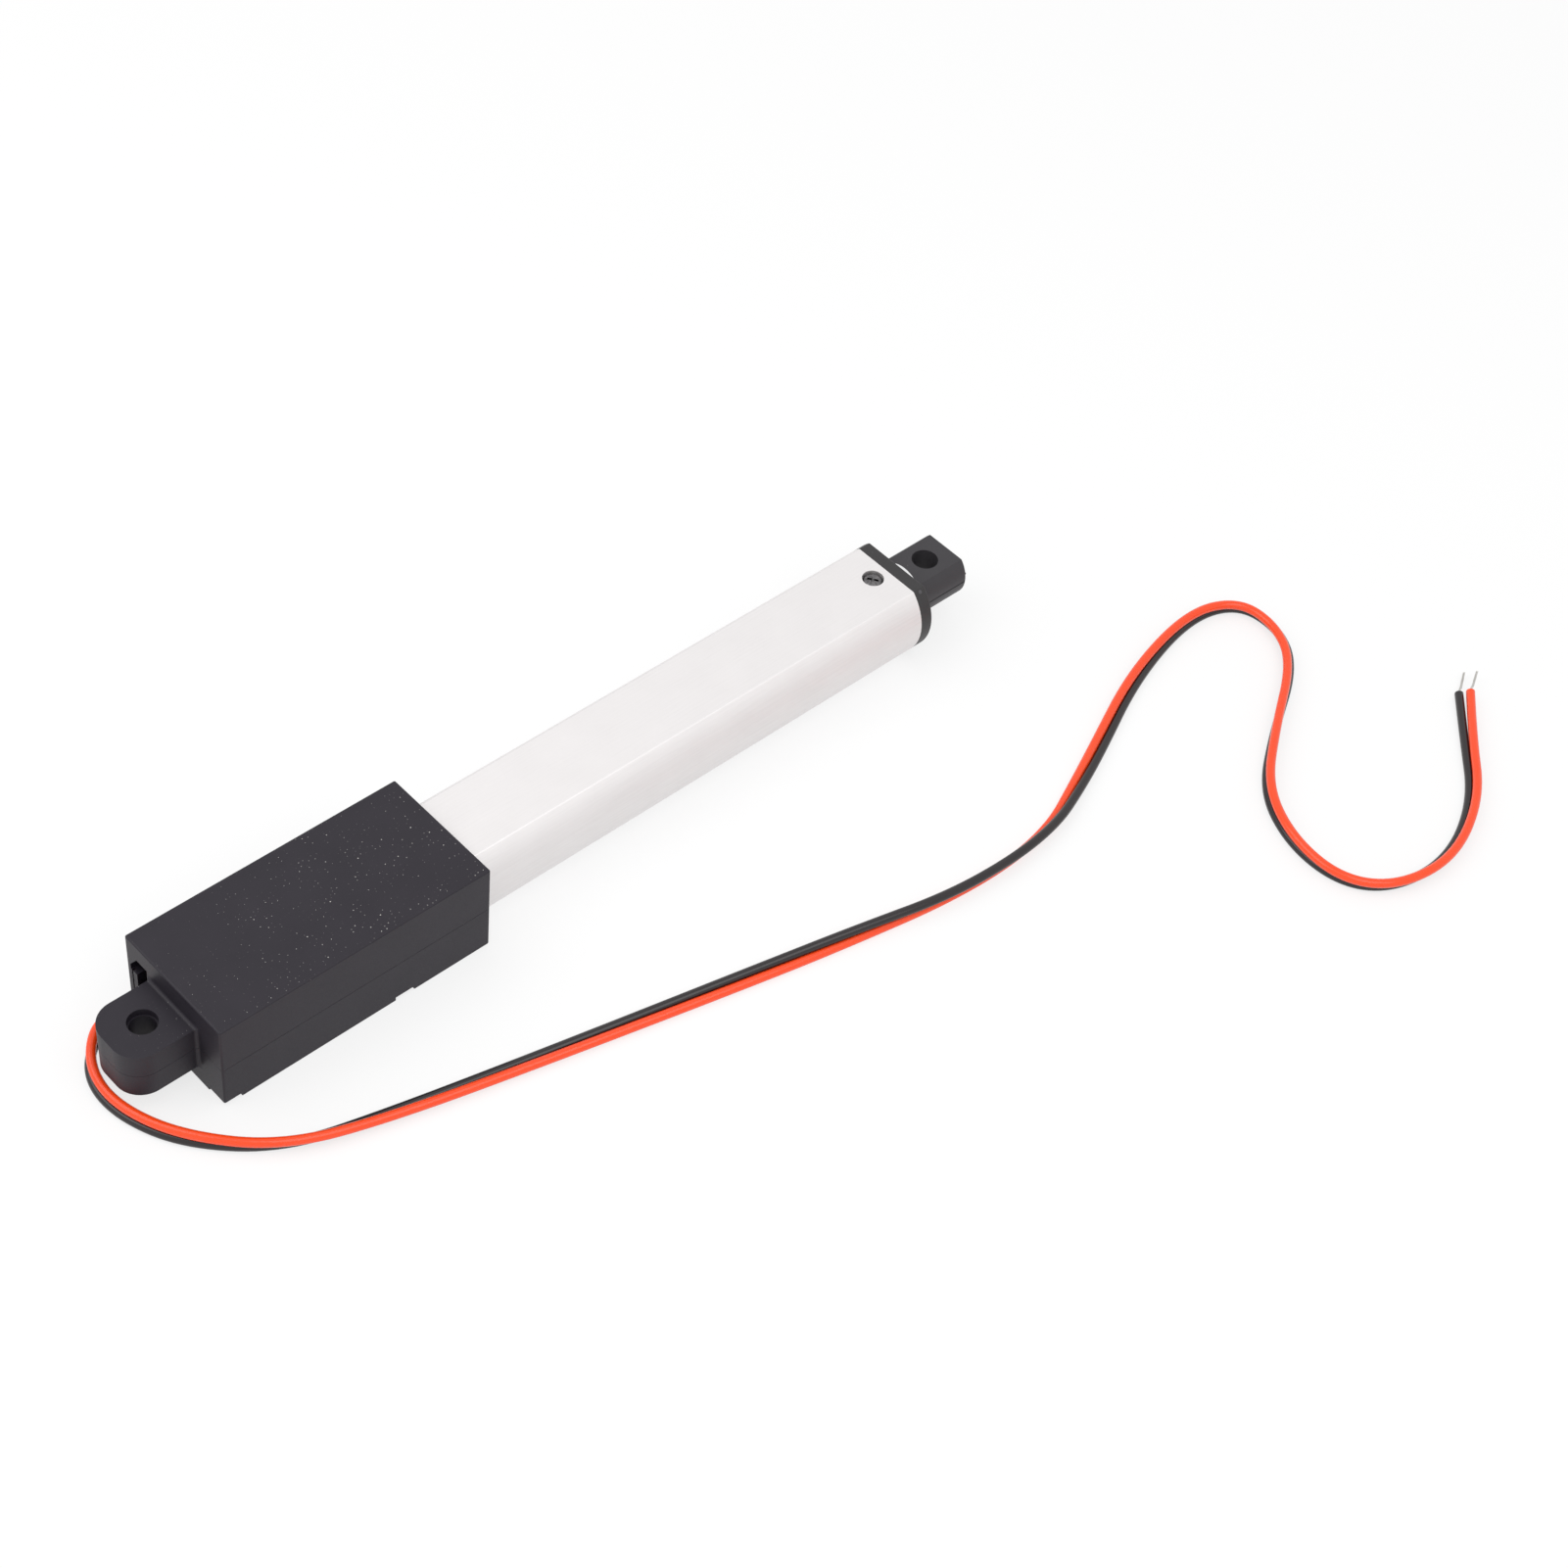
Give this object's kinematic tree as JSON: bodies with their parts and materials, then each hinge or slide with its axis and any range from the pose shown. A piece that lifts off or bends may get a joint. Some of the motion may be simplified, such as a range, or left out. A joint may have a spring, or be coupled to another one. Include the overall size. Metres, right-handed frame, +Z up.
{
  "type": "micro linear actuator",
  "caption": "Slim electric linear actuator: a geared motor in a flat housing drives a screw that pushes a rod out of a flat-sided tube, with a pivot hole at each end and loose leads.",
  "frame": {"origin": "on the rear pivot hole's axis, at the mid-plane of the housing's two halves", "axes": "+X along the rod towards its pivot end, +Z up along both pivot holes, +Y to the left"},
  "size_m": [0.2226, 0.1041, 0.0168],
  "materials": {
    "housing_plastic": "satin moulded",
    "cap_plastic": "satin moulded",
    "tube_silver": "satin silver anodised",
    "rod_steel": "polished",
    "screw_steel": "turned",
    "fastener_steel": "plated",
    "brass_gear": "cut",
    "bronze_bush": "sintered",
    "bearing_steel": "ground",
    "nut_acetal": "moulded",
    "wiper_rubber": "moulded",
    "can_steel": "plated",
    "bell_plastic": "moulded",
    "terminal_brass": "tinned",
    "magnet": "sintered",
    "rotor_core": "wound",
    "board_laminate": "solder-masked",
    "switch_plastic": "moulded",
    "diode_glass": "moulded",
    "black_insulation": "extruded",
    "red_insulation": "extruded",
    "tinned_wire": "tinned strands"
  },
  "bodies": {
    "base": {"upper_housing": "housing_plastic", "lower_housing": "housing_plastic", "housing_screws": "fastener_steel", "outer_tube": "tube_silver", "front_cap": "cap_plastic", "cap_screws": "fastener_steel", "rod_bush": "bronze_bush", "rod_wiper": "wiper_rubber", "idler_spindle": "screw_steel", "gear_plate_rear": "brass_gear", "gear_plate_front": "brass_gear", "gear_posts": "brass_gear", "bearing_outer_ring": "bearing_steel", "bearing_balls": "bearing_steel", "motor_can": "can_steel", "motor_end_bell": "bell_plastic", "motor_terminals": "terminal_brass", "motor_magnets": "magnet", "motor_bush": "bronze_bush", "limit_board": "board_laminate", "rear_limit_switch": "switch_plastic", "front_limit_switch": "switch_plastic", "board_diodes": "diode_glass", "black_wire": "black_insulation", "red_wire": "red_insulation", "wire_tips": "tinned_wire"},
    "rod": {"push_rod": "rod_steel", "rod_end": "cap_plastic", "drive_nut": "nut_acetal"},
    "screw": {"lead_screw": "screw_steel", "output_gear": "brass_gear", "screw_clip": "fastener_steel", "bearing_inner_ring": "bearing_steel"},
    "idler": {"compound_gear": "brass_gear"},
    "motor": {"motor_shaft": "screw_steel", "motor_rotor": "rotor_core", "motor_pinion": "brass_gear"}
  },
  "joints": [
    {"name": "rod_slide", "type": "slide", "parent": "base", "child": "rod", "axis": [1, 0, 0], "range_m": [0, 0.1]},
    {"name": "screw_turn", "type": "hinge", "parent": "base", "child": "screw", "pos_m": [0.03, 0, 0], "axis": [1, 0, 0], "range_deg": [-36000, 0]},
    {"name": "idler_turn", "type": "hinge", "parent": "base", "child": "idler", "pos_m": [0.021, -0.0052, 0], "axis": [1, 0, 0], "range_deg": [0, 120000]},
    {"name": "motor_turn", "type": "hinge", "parent": "base", "child": "motor", "pos_m": [0.014, 0, 0], "axis": [1, 0, 0], "range_deg": [-400000, 0]}
  ],
  "couplings": [
    {"joint": "screw_turn", "follows": "rod_slide", "rad_per_m": -6283.2},
    {"joint": "idler_turn", "follows": "rod_slide", "rad_per_m": 20944},
    {"joint": "motor_turn", "follows": "rod_slide", "rad_per_m": -69813}
  ]
}
